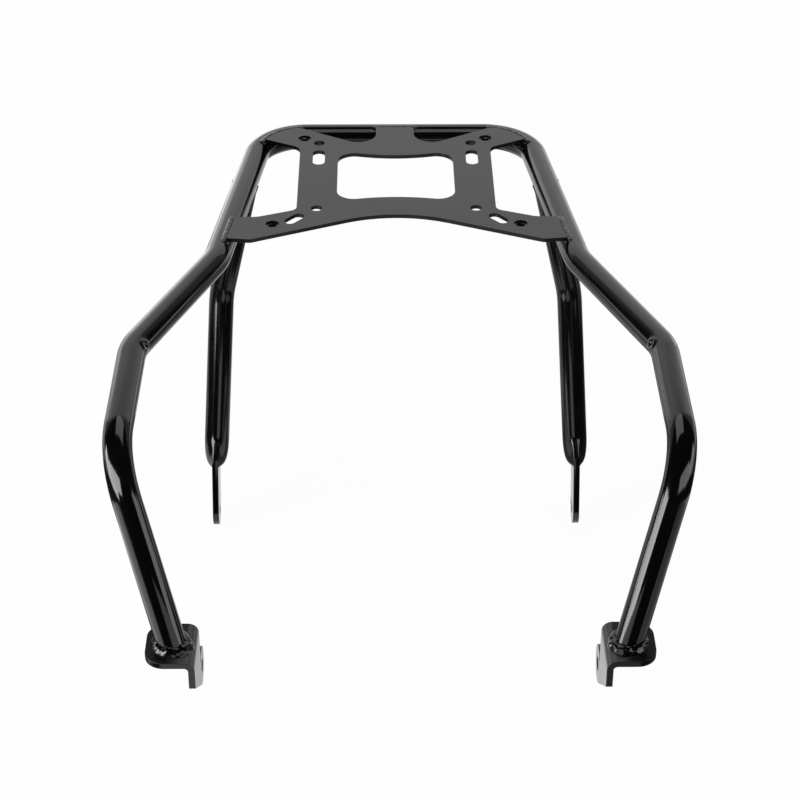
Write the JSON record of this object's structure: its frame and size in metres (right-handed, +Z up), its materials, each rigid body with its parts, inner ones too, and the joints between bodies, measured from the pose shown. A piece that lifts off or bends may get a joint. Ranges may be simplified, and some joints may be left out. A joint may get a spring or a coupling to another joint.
{
  "type": "motorcycle luggage rack",
  "caption": "Tubular motorcycle luggage rack: a bent hoop with welded rear legs and front brackets carries a cut-out deck plate with bolt holes and slots.",
  "frame": {"origin": "on the deck plate's top face, midway between its two front bolt holes", "axes": "+X to the rack's right seen from the rider looking to the tail, +Y to the motorcycle's tail, +Z up"},
  "size_m": [0.3566, 0.486, 0.2521],
  "materials": {
    "coated_tube": "gloss black powder coat on steel tube",
    "coated_plate": "semi-gloss black powder coat on steel plate",
    "coated_bead": "gloss black powder coat over rippled weld bead",
    "coated_nut": "gloss black powder coat over steel weld nut"
  },
  "bodies": {
    "root": {"hoop_tube": "coated_tube", "top_plate": "coated_plate", "rear_leg_left": "coated_tube", "front_bracket_left": "coated_plate", "leg_weld_left": "coated_bead", "foot_weld_left": "coated_bead", "arm_weld_front_left": "coated_bead", "weld_nut_front_left": "coated_nut", "arm_weld_rear_left": "coated_bead", "weld_nut_rear_left": "coated_nut", "rear_leg_right": "coated_tube", "front_bracket_right": "coated_plate", "leg_weld_right": "coated_bead", "foot_weld_right": "coated_bead", "arm_weld_front_right": "coated_bead", "weld_nut_front_right": "coated_nut", "arm_weld_rear_right": "coated_bead", "weld_nut_rear_right": "coated_nut", "tab_weld": "coated_bead"}
  },
  "joints": []
}
